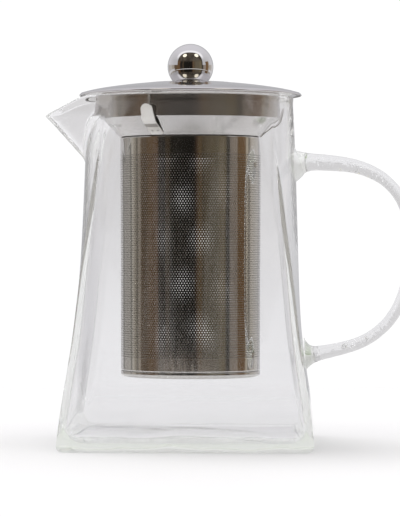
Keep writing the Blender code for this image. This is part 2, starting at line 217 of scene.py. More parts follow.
def clear_glass(name, pale, deep, bubbly):
    """Clear borosilicate, a little wavy and faintly green in depth.
    bubbly adds drawn-out seeds where the mesh's "streak" attribute says."""
    material, nodes = new_material(name)
    place = nodes.add("TexCoord")["Object"]
    draw = nodes.noise(nodes.stretch(place, scale=(42.0, 42.0, 7.0)),
                       scale=1.0, detail=1.5, roughness=0.4)
    ripple = nodes.noise(place, scale=26.0, detail=1.5, roughness=0.45, distortion=0.3)
    seed = nodes.noise(place, scale=420.0, detail=1.0, roughness=0.4)
    waves = draw * 0.60 + (ripple * 0.38 + seed * 0.02)
    normal = nodes.bump(waves, distance=0.05 * MM, strength=0.5)
    if bubbly:
        streak = nodes.add("Attribute", attribute_name="streak")["Fac"]
        seeds = nodes.noise(nodes.stretch(place, scale=(520.0, 900.0, 900.0)),
                            scale=1.0, detail=1.0, roughness=0.5)
        dots = nodes.smooth(seeds, over=(0.44, 0.60)) * streak
        normal = nodes.bump(dots, distance=0.22 * MM, Normal=normal)
    glass = nodes.add("BsdfPrincipled", {
        "Base Color": nodes.mix(ripple, pale, deep),
        "Transmission Weight": 1.0,
        "IOR": 1.474,
        "Roughness": nodes.linear(seed, over=(0.2, 0.8), to=(0.0, 0.012)),
        "Normal": normal})
    # light that would be trapped inside the wall leaves it softly instead: the surface
    # of blown glass is too uneven to keep all of it
    surface = nodes.add("NewGeometry")
    cosine = nodes.add("VectorMath", {0: surface["Incoming"], 1: surface["Normal"]},
                       operation="DOT_PRODUCT")["Value"]
    trapped = nodes.smooth(abs(cosine), over=TRAP_COSINES, to=(0.0, TRAP_ESCAPE))
    soft = nodes.add("BsdfTransparent", {"Color": (0.93, 0.94, 0.92)})
    body = nodes.mix_shaders(trapped * surface["Backfacing"], glass, soft)
    # diffuse and shadow rays pass straight through
    see = nodes.add("BsdfTransparent", {"Color": SEE_THROUGH})
    path = nodes.add("LightPath")
    body = nodes.mix_shaders(path["Is Diffuse Ray"], body, see)
    body = nodes.mix_shaders(path["Is Shadow Ray"], body, see)
    absorb = nodes.add("VolumeAbsorption", {"Color": (0.78, 0.84, 0.70), "Density": 5.5})
    nodes.add("OutputMaterial", {"Surface": body, "Volume": absorb})
    return material


GLASS = clear_glass("borosilicate_glass", pale=(0.952, 0.950, 0.954), deep=(0.922, 0.922, 0.925),
                    bubbly=False)
# the handle's glass gets darker, greyer colours than the jug's: painted shade on the rod
SHADED_ROD_GLASS = clear_glass("drawn_rod_glass_painted_shade", pale=(0.865, 0.864, 0.871), deep=(0.80, 0.801, 0.805),
                        bubbly=True)

# name: colour, roughness, fineness and depth (mm) of the polishing lines, how they lie,
# spread of the roughness
STEEL_LOOKS = {
    "polished_tube_steel": ((0.66, 0.645, 0.62), 0.040, 1.2, 0.0003, "along", 0.02),
    # the basket's inside is satin and much lighter than its outside: painted light, standing in for
    # light that comes in through the holes
    "satin_basket_inside_painted_light": ((0.84, 0.82, 0.79), 0.38, 1.2, 0.0010, "along", 0.06),
    "polished_collar_steel": ((0.64, 0.625, 0.61), 0.13, 1.6, 0.0010, "round", 0.05),
    # satin finish, with a darker colour than the polished collar: painted shade on the band and the
    # lid ring
    "satin_collar_steel_painted_shade": ((0.50, 0.475, 0.455), 0.175, 2.4, 0.0004, "along", 0.03),
    "polished_lid_steel": ((0.67, 0.655, 0.66), 0.10, 1.5, 0.0010, "disc", 0.05),
    # the underside's dark colour is painted shade under the lid's rim
    "satin_lid_underside_painted_shade": ((0.30, 0.29, 0.285), 0.34, 1.8, 0.0020, "disc", 0.06),
    "mirror_knob_steel": ((0.76, 0.75, 0.755), 0.018, 0.8, 0.0001, "round", 0.008),
    # the clips are satin, and their pale colour is painted light
    "satin_clip_steel_painted_light": ((0.84, 0.82, 0.785), 0.34, 2.0, 0.0020, "along", 0.05),
    # dark steel for the weld marks and, along the fold, painted shade
    "weld_and_fold_shade_steel": ((0.42, 0.40, 0.375), 0.30, 2.0, 0.0010, "along", 0.05),
    "plated_fixing_steel": ((0.62, 0.61, 0.59), 0.24, 2.0, 0.0020, "disc", 0.06),
}
STEEL = {name: steel(name, *look) for name, look in STEEL_LOOKS.items()}


# ================================================================ mesh helpers
def shade(obj, angle):
    """Smooth shading, with edges sharper than the angle in degrees kept."""
    obj.data.shade_smooth()
    obj.data.set_sharp_from_angle(angle=radians(angle))


def make_mesh(name, verts, faces, materials, angle, slots=None):
    """A mesh piece.  verts are in millimetres; slots gives each face's material."""
    mesh = bpy.data.meshes.new(name)
    mesh.from_pydata((np.asarray(verts, float) * MM).tolist(), [], faces)
    mesh.update()
    obj = bpy.data.objects.new(name, mesh)
    bpy.context.scene.collection.objects.link(obj)
    for material in materials:
        mesh.materials.append(material)
    if slots is not None:
        mesh.polygons.foreach_set("material_index", np.asarray(slots, np.int32))
    shade(obj, angle)
    return obj


def ring_faces(count, first, second):
    """Quads between two rings, wound so that going down the outside faces out."""
    return [(first + i, second + i, second + (i + 1) % count, first + (i + 1) % count)
            for i in range(count)]


def skin(rings, rising):
    """Vertices and faces of a solid over a stack of rings, capped at both ends.
    rising says that the first ring is the low one on the outside."""
    count = len(rings[0])
    last = (len(rings) - 1) * count
    faces = []
    for j in range(len(rings) - 1):
        faces.extend(ring_faces(count, j * count, (j + 1) * count))
    caps = [tuple(range(count)), tuple(last + i for i in reversed(range(count)))]
    if rising:
        faces = [face[:1] + face[:0:-1] for face in faces]
        caps = [cap[::-1] for cap in caps]
    return np.concatenate(rings), faces + caps


def turned(name, profile, materials, sides=256, angle=40.0, slots=None):
    """A (radius, height) profile turned about Z: down the outside and back up the inside.
    It closes on itself unless it starts on the axis.  slots gives a material to each step."""
    turns = np.arange(sides) * 2.0 * pi / sides
    on_axis = [radius < 1e-9 for radius, _ in profile]
    verts, starts = [], []
    for (radius, z), single in zip(profile, on_axis):
        starts.append(len(verts))
        if single:
            verts.append((0.0, 0.0, z))
        else:
            verts.extend(zip(radius * np.cos(turns), radius * np.sin(turns), np.full(sides, z)))
    faces, chosen = [], []
    for k in range(len(profile) - 1 if on_axis[0] else len(profile)):
        following = (k + 1) % len(profile)
        first, second = starts[k], starts[following]
        if on_axis[k]:
            band = [(first, second + i, second + (i + 1) % sides) for i in range(sides)]
        elif on_axis[following]:
            band = [(first + i, second, first + (i + 1) % sides) for i in range(sides)]
        else:
            band = ring_faces(sides, first, second)
        faces.extend(band)
        chosen.extend([slots[k] if slots else 0] * len(band))
    return make_mesh(name, verts, faces, materials, angle, chosen if slots else None)


def rounded(points, radii, count):
    """The profile with each corner replaced by an arc of its radius (0 keeps the corner)."""
    found = []
    for i, (point, radius) in enumerate(zip(points, radii)):
        if radius <= 0.0:
            found.append(point)
            continue
        corner = np.array(point, float)
        before = np.array(points[i - 1], float) - corner
        after = np.array(points[(i + 1) % len(points)], float) - corner
        before_length, after_length = np.linalg.norm(before), np.linalg.norm(after)
        before, after = before / before_length, after / after_length
        half = 0.5 * np.arccos(np.clip(before @ after, -1.0, 1.0))
        back = min(radius / tan(half), 0.49 * before_length, 0.49 * after_length)
        fitted = back * tan(half)
        middle = before + after
        centre = corner + middle / np.linalg.norm(middle) * (fitted / sin(half))
        start = corner + before * back - centre
        end = corner + after * back - centre
        start_angle, end_angle = atan2(start[1], start[0]), atan2(end[1], end[0])
        turn = (end_angle - start_angle + pi) % (2.0 * pi) - pi
        for k in range(count + 1):
            angle = start_angle + turn * k / count
            found.append((centre[0] + fitted * cos(angle), centre[1] + fitted * sin(angle)))
    return found


def monotone(stations, values):
    """A smooth curve through the points that doesn't overshoot them (cubic Hermite)."""
    stations, values = np.asarray(stations, float), np.asarray(values, float)
    steps = np.diff(stations)
    slopes = np.diff(values) / steps
    tangents = np.zeros(len(stations))
    for i in range(1, len(stations) - 1):
        if slopes[i - 1] * slopes[i] > 0.0:
            low_weight = 2.0 * steps[i] + steps[i - 1]
            high_weight = steps[i] + 2.0 * steps[i - 1]
            tangents[i] = ((low_weight + high_weight)
                           / (low_weight / slopes[i - 1] + high_weight / slopes[i]))
    tangents[0], tangents[-1] = slopes[0], slopes[-1]

    def value(at):
        at = np.clip(np.asarray(at, float), stations[0], stations[-1])
        k = np.clip(np.searchsorted(stations, at) - 1, 0, len(stations) - 2)
        t = (at - stations[k]) / steps[k]
        return ((2 * t**3 - 3 * t**2 + 1) * values[k]
                + (t**3 - 2 * t**2 + t) * steps[k] * tangents[k]
                + (-2 * t**3 + 3 * t**2) * values[k + 1]
                + (t**3 - t**2) * steps[k] * tangents[k + 1])
    return value


def spline(points, steps):
    """A Catmull-Rom curve through the points, and its unit direction in the first two columns."""
    points = np.array(points)
    padded = np.vstack((2 * points[0] - points[1], points, 2 * points[-1] - points[-2]))
    dense = []
    for i in range(1, len(padded) - 2):
        before, start, end, after = padded[i - 1:i + 3]
        for t in np.arange(0.0, 1.0, 1.0 / steps):
            dense.append(0.5 * ((2 * start) + (end - before) * t
                                + (2 * before - 5 * start + 4 * end - after) * t**2
                                + (3 * start - before - 3 * end + after) * t**3))
    dense.append(points[-1])
    dense = np.array(dense)
    along = np.gradient(dense[:, :2], axis=0)
    return dense, along / np.linalg.norm(along, axis=1)[:, None]


def outward(obj):
    """Turn the faces out."""
    work = bmesh.new()
    work.from_mesh(obj.data)
    bmesh.ops.recalc_face_normals(work, faces=work.faces)
    work.to_mesh(obj.data)
    work.free()
    return obj


def combine(target, tool, operation):
    """Apply a boolean of target and tool to target, and remove tool."""
    boolean = target.modifiers.new(operation, "BOOLEAN")
    boolean.operation = operation
    boolean.solver = "EXACT"
    boolean.object = tool
    bpy.context.view_layer.update()
    graph = bpy.context.evaluated_depsgraph_get()
    made = bpy.data.meshes.new_from_object(target.evaluated_get(graph))
    target.modifiers.clear()
    old = target.data
    target.data = made
    made.name = target.name
    bpy.data.meshes.remove(old)
    bpy.data.objects.remove(tool, do_unlink=True)


# ================================================================ glass jug
JUG_LOW, JUG_HIGH = node_box("glass_jug")
LIP_Z = JUG_HIGH[2]
WALL, FLOOR = 2.1, 3.0
HEEL, INNER_HEEL = 2.8, 8.5      # rounding between wall and floor, outside and inside
# height, half width at mid side, corner radius, turn of half a side in degrees
SECTIONS = np.array((
    (0.0, 51.35, 2.6, 0.8), (13.0, 49.95, 3.0, 0.9), (30.0, 47.55, 3.4, 1.3),
    (46.5, 45.5, 3.6, 2.3), (58.8, 44.75, 3.8, 4.2), (71.6, 44.3, 4.2, 7.4),
    (81.0, 44.05, 4.8, 10.8), (98.0, 43.55, 7.0, 16.9), (107.0, 43.3, 9.4, 20.6),
    (115.0, 43.05, 12.2, 24.6), (125.0, 42.7, 17.5, 29.4), (132.0, 42.35, 24.5, 33.0),
    (138.0, 42.0, 34.0, 36.0), (143.0, 41.8, 40.0, 37.0)))
half_width, corner_radius, side_turn = (monotone(SECTIONS[:, 0], SECTIONS[:, k]) for k in (1, 2, 3))
# scales the table so that its width at this height is the CAD jug's
FIT_Z = 3.0
FIT = JUG_HIGH[1] / float(np.interp(FIT_Z, SECTIONS[:, 0], SECTIONS[:, 1]))
SIDE_STEPS, CORNER_STEPS = 28, 16
# between these the rings tilt from level to the lip's own line
RISE_Z, KEEP_BELOW_LIP = 104.0, 8.0
# the spout's ridge runs straight from root to tip; X here is distance towards -X
TIP_X, TIP_Z = -JUG_LOW[0] + 0.2, 134.75
ROOT_X, ROOT_Z = 43.5, 116.4
BEAK, NOSE = radians(40.0), radians(2.4)    # slant of the spout's sides, rounding of its ridge
SPOUT_REACH = radians(70.0)                 # how far round from -X the spout can show
SPOUT_BLEND, SPOUT_WALL = 2.2, 1.7
LIP_SLOPE = 0.435


def section_directions():
    """Of each point of a section: quadrant, piece (0 and 2 half sides, 1 corner), share of
    the piece, and nominal bearing."""
    rows = []
    for quadrant in range(4):
        rows.extend((quadrant, 0, k / SIDE_STEPS) for k in range(SIDE_STEPS))
        rows.extend((quadrant, 1, k / CORNER_STEPS) for k in range(CORNER_STEPS + 1))
        rows.extend((quadrant, 2, k / SIDE_STEPS) for k in range(1, SIDE_STEPS))
    quadrant, piece, share = np.array(rows).T
    piece = piece.astype(int)
    turn = np.choose(piece, (36.0 * share, 36.0 + 18.0 * share, 54.0 + 36.0 * share))
    return quadrant.astype(int), piece, share, np.radians(90.0 * quadrant + turn)


QUADRANT, PIECE, SHARE, TURN = section_directions()


def section(height, inset=0.0, radius=None):
    """The section's points, each at its own height, inset from the outside: crowned sides
    joined by corner arcs, tangent to each other."""
    half = half_width(height) * FIT - inset
    if radius is None:
        radius = corner_radius(height) - inset
    end = np.radians(side_turn(height))
    lean = np.cos(end) - np.sin(end)
    side = (half - lean * radius) / (1.0 - lean)
    centre = (side - radius) * np.sin(end)
    rising = end * SHARE
    round_corner = end + (0.5 * pi - 2.0 * end) * SHARE
    falling = end * (1.0 - SHARE)
    x = np.choose(PIECE, (half - side + side * np.cos(rising),
                          centre + radius * np.cos(round_corner), side * np.sin(falling)))
    y = np.choose(PIECE, (side * np.sin(rising), centre + radius * np.sin(round_corner),
                          half - side + side * np.cos(falling)))
    for quadrant in (1, 2, 3):       # a quarter turn more for each quadrant
        pick = QUADRANT >= quadrant
        x[pick], y[pick] = -y[pick], x[pick].copy()
    return x, y


def soft_max(first, second, blend):
    overlap = np.maximum(blend - np.abs(first - second), 0.0) / blend
    return np.maximum(first, second) + overlap * overlap * blend * 0.25


def soft_min(first, second, blend):
    return -soft_max(-first, -second, blend)


def with_spout(x, y, z, back):
    """The section pushed out to the spout, whose surface is set back by the given amount."""
    radius = np.hypot(x, y)
    off = np.abs(np.arctan2(y, -x))
    near = off < SPOUT_REACH
    rising = ROOT_X + (z - ROOT_Z) * (TIP_X - ROOT_X) / (TIP_Z - ROOT_Z)
    ridge = soft_min(rising, TIP_X, 1.2) - back
    off = np.where(near, off, 0.5)
    beak = ridge * sin(BEAK + NOSE) / np.sin(BEAK + np.sqrt(off**2 + NOSE**2))
    scale = np.where(near, soft_max(radius, beak, SPOUT_BLEND) / radius, 1.0)
    return x * scale, y * scale


def lip_line():
    """Height of the lip at each bearing, falling towards the body from the spout's tip."""
    flat = np.full(len(TURN), LIP_Z)
    x, _ = with_spout(*section(flat), flat, 0.0)
    edge = TIP_Z + LIP_SLOPE * (TIP_X + x)
    # the fire-polished edge isn't perfectly level
    uneven = 0.09 * np.sin(2.0 * TURN + 0.6) + 0.06 * np.sin(5.0 * TURN + 1.9)
    return (np.where(x < 0.0, soft_min(edge, LIP_Z, 1.6), LIP_Z)
            + np.clip((x + 38.0) / 8.0, 0.0, 1.0) * (uneven - 0.22) - 0.15)


LIPS = lip_line()


def wander(turn, z, seed, size):
    """Slow unevenness of a hand-finished wall, in millimetres."""
    return size * (0.5 * np.sin(3.0 * turn + 0.045 * z + seed)
                   + 0.35 * np.sin(6.0 * turn - 0.03 * z + 2.1 * seed)
                   + 0.30 * np.sin(0.08 * z + 2.0 * turn + 0.7 * seed))


def glass_ring(height, inset, corner=None):
    """One ring of the glass at the given heights; inset is measured in from the outside."""
    outer = inset <= 0.0
    if corner is None and not outer:
        corner = np.maximum(corner_radius(height) - inset, 3.2)
    x, y = section(height, inset, corner)
    x, y = with_spout(x, y, height, inset if outer else SPOUT_WALL * min(1.0, inset / WALL))
    # the unevenness fades out at the foot and the lip
    calm = (np.clip((height - 2.0) / 12.0, 0.0, 1.0)
            * np.clip((LIPS - height - 1.0) / 8.0, 0.0, 1.0))
    seed, size = (1.3, 0.05) if outer else (4.1, 0.10)
    grow = 1.0 + calm * wander(TURN, height, seed, size) / np.hypot(x, y)
    return np.column_stack((x * grow, y * grow, height))


def wall_ring(z, inset):
    """One ring of the wall: level low down, following the lip higher up."""
    below = LIP_Z - z
    if z <= RISE_Z:
        height = np.full(len(TURN), float(z))
    elif below < KEEP_BELOW_LIP:
        height = LIPS - below
    else:
        share = (z - RISE_Z) / (LIP_Z - KEEP_BELOW_LIP - RISE_Z)
        height = RISE_Z + share * (LIPS - KEEP_BELOW_LIP - RISE_Z)
    return glass_ring(height, inset)


def heel_ring(angle):
    """One ring of the outer heel, whose rounding isn't the same size all the way round."""
    x, y = section(np.full(len(TURN), HEEL))
    size = HEEL * (1.0 + 0.22 * np.sin(0.115 * x + 0.09 * y + 0.5)
                   + 0.13 * np.sin(0.31 * x - 0.27 * y + 2.0)
                   + 0.05 * np.sin(0.70 * x + 0.64 * y + 1.1))
    inset = size * (1.0 - sin(angle))
    height = size * (1.0 - cos(angle))
    x, y = section(height, inset, np.maximum(1.2, corner_radius(0.0) - 0.45 * inset))
    return np.column_stack((x, y, height))


def inner_heel_ring(step, steps):
    """One ring of the rounding from the inside of the wall down to the floor."""
    angle = radians(90.0 - 90.0 * step / steps)
    turn_in = INNER_HEEL * (1.0 - sin(angle))
    height = np.full(len(TURN), FLOOR + INNER_HEEL * (1.0 - cos(angle)))
    ring = glass_ring(height, WALL + turn_in, corner=max(2.4, 3.4 - 0.1 * turn_in))
    x, y = ring[:, 0], ring[:, 1]
    ring[:, 2] += sin(pi * step / steps) ** 2 * (
        0.30 * np.sin(0.105 * x + 0.9) + 0.20 * np.sin(0.23 * x - 0.14 * y + 2.0)
        + 0.15 * np.sin(0.12 * y + 0.4))
    return ring


def floor_ring(edge, share):
    """The floor's edge shrunk towards the middle, where the floor is thinner and uneven."""
    ring = edge.copy()
    ring[:, :2] *= share
    ring[:, 2] = (FLOOR - 0.35 * (1.0 - share**2)
                  + 0.10 * np.sin(0.16 * ring[:, 0] + 0.8) * np.sin(0.13 * ring[:, 1] + 0.3))
    return ring


def build_jug():
    """The glass as one skin: up the outside, over the lip, down the inside and to the middle."""
    rings = [heel_ring(radians(90.0 * k / 10)) for k in range(11)]
    for z in np.concatenate((np.arange(5.0, 60.0, 2.5), np.arange(60.0, 112.0, 2.0),
                             np.arange(112.0, 136.3, 0.8))):
        rings.append(wall_ring(z, 0.0))
    # the lip: a bead that stands out a little, rounded over the top
    for drop in (5.4, 4.6, 3.8, 3.0, 2.3, 1.7, 1.2, 0.8):
        rings.append(wall_ring(LIP_Z - drop, -0.27 * exp(-((drop - 0.6) / 1.9) ** 2)))
    for k in range(13):
        angle = radians(180.0 * k / 12)
        rings.append(wall_ring(LIP_Z - 0.50 * (1.0 - sin(angle)), 0.92 - 1.18 * cos(angle)))
    for z in np.concatenate((np.arange(140.0, 112.0, -0.8), np.arange(112.0, 60.0, -2.0),
                             np.arange(60.0, 14.0, -2.5))):
        rings.append(wall_ring(z, WALL))
    rings.extend(inner_heel_ring(k, 14) for k in range(15))
    edge = rings[-1]
    rings.extend(floor_ring(edge, share) for share in (0.86, 0.70, 0.54, 0.38, 0.24, 0.12, 0.04))
    return outward(make_mesh("jug_glass_body", *skin(rings, rising=True), [GLASS], 60.0))


# ---------------------------------------------------------------- handle
HANDLE_HIGH = node_box("handle")[1]
HANDLE_OUT, HANDLE_TOP = HANDLE_HIGH[0], HANDLE_HIGH[2]
# (x, z, thickness) of the rod's centre line from the upper joint to the lower one;
# x and z are measured from the outer and upper sides of the CAD handle's box
ROD = (
    (-50.2, -6.9, 15.6), (-49.2, -6.9, 13.6), (-48.1, -6.75, 11.2), (-46.7, -6.45, 9.0),
    (-44.7, -6.25, 7.6), (-41.6, -6.2, 6.8), (-37.0, -6.45, 6.4), (-30.0, -7.1, 5.8),
    (-25.4, -7.9, 5.5), (-21.0, -9.2, 5.2), (-17.0, -11.0, 5.0), (-13.4, -13.2, 4.8),
    (-10.2, -16.1, 4.6), (-7.4, -19.5, 4.5), (-5.2, -23.5, 4.5), (-3.6, -28.1, 4.5),
    (-2.75, -33.3, 4.5), (-2.4, -39.3, 4.5), (-2.6, -45.3, 4.5), (-3.3, -51.3, 4.5),
    (-4.4, -56.8, 4.5), (-6.0, -62.0, 4.5), (-8.2, -66.7, 4.5), (-11.1, -71.0, 4.5),
    (-14.7, -74.7, 4.6), (-19.0, -77.9, 4.7), (-23.8, -80.3, 4.8), (-29.4, -82.1, 5.0),
    (-35.0, -83.4, 5.3), (-39.4, -84.3, 5.7), (-41.7, -84.75, 6.6), (-43.2, -84.95, 8.0),
    (-44.35, -85.05, 10.0), (-45.25, -85.1, 12.2), (-45.95, -85.1, 14.2))
ROD_LINE, ROD_ALONG = spline([(HANDLE_OUT + x, HANDLE_TOP + z, thick) for x, z, thick in ROD], 7)
ROD_SIDES = 48


def rod_width(thick):
    """The rod's width across Y: it is oval."""
    return thick * 1.10 + 1.25


def build_rod():
    """The handle: a drawn glass rod swept along its centre line and flared at both joints."""
    turns = np.arange(ROD_SIDES) * 2.0 * pi / ROD_SIDES
    squared = 1.0 + 0.03 * np.cos(4.0 * turns)
    rings = []
    for k, ((x, z, thick), (along_x, along_z)) in enumerate(zip(ROD_LINE, ROD_ALONG)):
        share = k / len(ROD_LINE)
        uneven = 1.0 + 0.010 * sin(31.0 * share + 0.4) + 0.007 * sin(67.0 * share + 1.1)
        flat = 0.5 * thick * uneven
        wide = 0.5 * rod_width(thick) * (1.0 + 0.008 * sin(43.0 * share))
        rings.append(np.column_stack((x - along_z * flat * np.cos(turns) * squared,
                                      wide * np.sin(turns) * squared,
                                      z + along_x * flat * np.cos(turns) * squared)))
    return outward(make_mesh("rod", *skin(rings, rising=True), [GLASS], 60.0))


def mark_rod(obj):
    """Give the rod's faces their own slot, and say where the streak of fine bubbles runs in it."""
    mesh = obj.data
    count = len(mesh.vertices)
    place = np.empty(count * 3)
    mesh.vertices.foreach_get("co", place)
    place = place.reshape(-1, 3) / MM
    streak, on_rod = np.zeros(count), np.zeros(count, bool)
    for i in np.nonzero(place[:, 0] > 45.0)[0]:
        x, y, z = place[i]
        away = np.hypot(ROD_LINE[:, 0] - x, ROD_LINE[:, 1] - z)
        k = int(np.argmin(away))
        line_x, line_z, thick = ROD_LINE[k]
        along_x, along_z = ROD_ALONG[k]
        on_rod[i] = away[k] < 0.58 * thick and abs(y) < 0.62 * rod_width(thick)
        if on_rod[i]:
            # a narrow streak off the centre line, fading out towards the jug and the outer bow
            offset = ((z - line_z) * along_x - (x - line_x) * along_z) / thick
            jug_end = min(1.0, max(0.0, (x - 49.0) / 3.0))
            bow_end = min(1.0, max(0.0, (HANDLE_OUT - 7.0 - x) / 9.0))
            streak[i] = jug_end * bow_end * exp(-(((offset - 0.17) / 0.13) ** 2))
    mesh.materials.append(SHADED_ROD_GLASS)
    picked = [1 if all(on_rod[v] for v in face.vertices) and face.center.x / MM > 47.0 else 0
              for face in mesh.polygons]
    mesh.polygons.foreach_set("material_index", picked)
    mesh.attributes.new("streak", "FLOAT", "POINT").data.foreach_set("value", streak)


jug = build_jug()
combine(jug, build_rod(), "UNION")
mark_rod(jug)
shade(jug, 75.0)
register(jug, "jug", "jug_glass", "glass_jug", "handle")


# ================================================================ infuser
COLLAR_LOW, COLLAR_HIGH = node_box("infuser_collar")
TUBE_BOX_LOW, TUBE_BOX_HIGH = node_box("strainer_tube")
BASE_BOX_LOW, BASE_BOX_HIGH = node_box("strainer_base")
SHEET = 0.5
TUBE_R, TUBE_LOW, TUBE_HIGH = TUBE_BOX_HIGH[0], TUBE_BOX_LOW[2], TUBE_BOX_HIGH[2]
SPIGOT_R = TUBE_R - SHEET - 0.3  # outside of the spigots that fit into the tube
FLANGE_R, FLANGE_TOP = COLLAR_HIGH[0], COLLAR_HIGH[2]
SPIGOT_LOW = COLLAR_LOW[2]
BAND_R, BAND_LOW = 36.7, 132.6
CONE_R, CONE_LOW = TUBE_R + 0.1, TUBE_HIGH + 0.5


def build_collar():
    """Flange, upright band, cone and spigot, pressed from one sheet."""
    points = (
        (FLANGE_R, FLANGE_TOP), (FLANGE_R, FLANGE_TOP - SHEET), (BAND_R, FLANGE_TOP - SHEET),
        (BAND_R, BAND_LOW), (CONE_R, CONE_LOW), (SPIGOT_R, CONE_LOW - 0.25),
        (SPIGOT_R, SPIGOT_LOW), (SPIGOT_R - SHEET, SPIGOT_LOW),
        (SPIGOT_R - SHEET, CONE_LOW - 0.4), (BAND_R - SHEET, BAND_LOW + 0.25),
        (BAND_R - SHEET, FLANGE_TOP))
    profile = rounded(points, (0.2, 0.2, 0.55, 0.35, 0.2, 0.2, 0.1, 0.1, 0.5, 0.6, 1.0), 5)
    slots = []                   # the long upright steps of the band are satin, outside and in, and carry a darker colour: painted shade
    for (_, start), (_, end) in zip(profile, profile[1:] + profile[:1]):
        in_band = min(start, end) > BAND_LOW - 0.05 and max(start, end) < FLANGE_TOP - 0.2
        slots.append(1 if in_band and abs(start - end) > 2.0 else 0)
    collar = turned("infuser_collar_sheet", profile,
                    [STEEL["polished_collar_steel"], STEEL["satin_collar_steel_painted_shade"]], slots=slots)
    register(collar, "infuser", "collar_steel", "infuser_collar")


build_collar()

# ---------------------------------------------------------------- perforated tube
COLUMNS, ROWS, SECTORS = 164, 88, 4
PERF_LOW, PERF_HIGH = 36.1, 117.7    # heights of the lowest and highest rows of holes
ROW_PITCH = (PERF_HIGH - PERF_LOW) / (ROWS - 1)
PERF_R = 0.275
EDGE_STEPS = (1.2, 0.35, 0.15, 0.0)  # rings of the plain bands, measured from the tube's ends
EDGE_EASE = 0.05                     # how far the sheet's outer edges are drawn in
# heights of the rings of the plain bands, away from the holes
LOW_LEVELS = [PERF_LOW - 1.2, PERF_LOW - 2.6] + [TUBE_LOW + step for step in EDGE_STEPS]
HIGH_LEVELS = ([PERF_HIGH + 0.6, 0.5 * (PERF_HIGH + TUBE_HIGH)]
               + [TUBE_HIGH - step for step in EDGE_STEPS])
# corners of a cell from its hole, in half column pitches and thirds of a row pitch
HEXAGON = ((0, 2), (-1, 1), (-1, -1), (0, -2), (1, -1), (1, 1))


def perforated_net(first_column, columns):
    """Points (round, up) and quads of a flat net: a hexagon with a hole for each perforation,
    staggered row by row, and plain bands above and below."""
    half_pitch = 0.5 * (2.0 * pi * TUBE_R / COLUMNS)
    third = ROW_PITCH / 3.0
    points, index, cells = [], {}, []

    def corner(across, up):
        """A shared corner, in half column pitches and thirds of a row pitch."""
        key = (across, up)
        if key not in index:
            index[key] = len(points)
            points.append((across * half_pitch, PERF_LOW + up * third))
        return index[key]

    def centres(row):
        return [2 * column + row % 2 for column in range(first_column, first_column + columns)]

    for row in range(ROWS):
        for across in centres(row):
            up = 3 * row
            ring = [corner(across + right, up + above) for right, above in HEXAGON]
            start = len(points)
            for k in range(6):
                angle = radians(90.0 + 60.0 * k)
                points.append((across * half_pitch + PERF_R * cos(angle),
                               PERF_LOW + up * third + PERF_R * sin(angle)))
            for k in range(6):
                following = (k + 1) % 6
                cells.append((ring[k], ring[following], start + following, start + k))
    # each plain band starts from the zigzag of the last row's cells
    for row, way, levels in ((0, -1, LOW_LEVELS), (ROWS - 1, 1, HIGH_LEVELS)):
        edge = []
        for across in centres(row):
            edge += [corner(across - 1, 3 * row + way), corner(across, 3 * row + 2 * way)]
        edge.append(corner(centres(row)[-1] + 1, 3 * row + way))
        for level in levels:
            line = list(range(len(points), len(points) + len(edge)))
            points.extend([(points[p][0], level) for p in edge])
            for i in range(len(edge) - 1):
                cell = (edge[i], line[i], line[i + 1], edge[i + 1])
                cells.append(cell[::-way])
            edge = line
    return np.array(points), cells


def build_tube_sector(first_column, columns, name):
    """The net rolled up, with an outer and an inner face and a wall round every edge."""
    points, cells = perforated_net(first_column, columns)
    height = points[:, 1]
    turn = points[:, 0] / TUBE_R
    outer = np.full(len(points), TUBE_R)
    outer[height > TUBE_HIGH - 0.01] -= EDGE_EASE
    outer[height < TUBE_LOW + 0.01] -= EDGE_EASE
    verts = np.concatenate([np.column_stack((radius * np.cos(turn), radius * np.sin(turn), height))
                            for radius in (outer, TUBE_R - SHEET)])
    count = len(points)
    faces = cells + [tuple(p + count for p in cell[::-1]) for cell in cells]
    slots = [0] * len(cells) + [1] * len(cells)
    directed = set()
    for cell in cells:
        for k in range(4):
            directed.add((cell[k], cell[(k + 1) % 4]))
    for start, end in directed:
        if (end, start) not in directed:
            faces.append((end, start, start + count, end + count))
            slots.append(1)
    tube = make_mesh(name, verts, faces,
                     [STEEL["polished_tube_steel"], STEEL["satin_basket_inside_painted_light"]], 30.0, slots)
    register(tube, "infuser", "basket_steel", "strainer_tube")


for sector in range(SECTORS):
    first = sector * COLUMNS // SECTORS
    last = (sector + 1) * COLUMNS // SECTORS
    build_tube_sector(first, last - first, "strainer_tube_sheet_%d" % (sector + 1))

# ---------------------------------------------------------------- base cap
BASE_LOW, BASE_HIGH = BASE_BOX_LOW[2], BASE_BOX_HIGH[2]
BASE_EDGE = TUBE_LOW - 0.32      # the cap's shoulder, just under the tube
BASE_STEP = 0.9                  # height of the step pressed into the cap


def build_base():
    """The cap under the tube, its middle pressed up by a step."""
    points = (
        (0.0, BASE_LOW + SHEET + BASE_STEP), (17.0, BASE_LOW + SHEET + BASE_STEP),
        (19.0, BASE_LOW + SHEET), (SPIGOT_R - SHEET, BASE_LOW + SHEET),
        (SPIGOT_R - SHEET, BASE_HIGH), (SPIGOT_R, BASE_HIGH), (SPIGOT_R, BASE_EDGE),
        (TUBE_R, BASE_EDGE), (TUBE_R, BASE_LOW), (19.3, BASE_LOW),
        (17.3, BASE_LOW + BASE_STEP), (0.0, BASE_LOW + BASE_STEP))
    profile = rounded(points, (0, 1.6, 1.6, 1.7, 0.1, 0.1, 0.1, 0.2, 2.2, 1.6, 1.6, 0), 7)
    base = turned("strainer_base_cap", profile, [STEEL["polished_tube_steel"]])
    register(base, "infuser", "basket_steel", "strainer_base")


build_base()

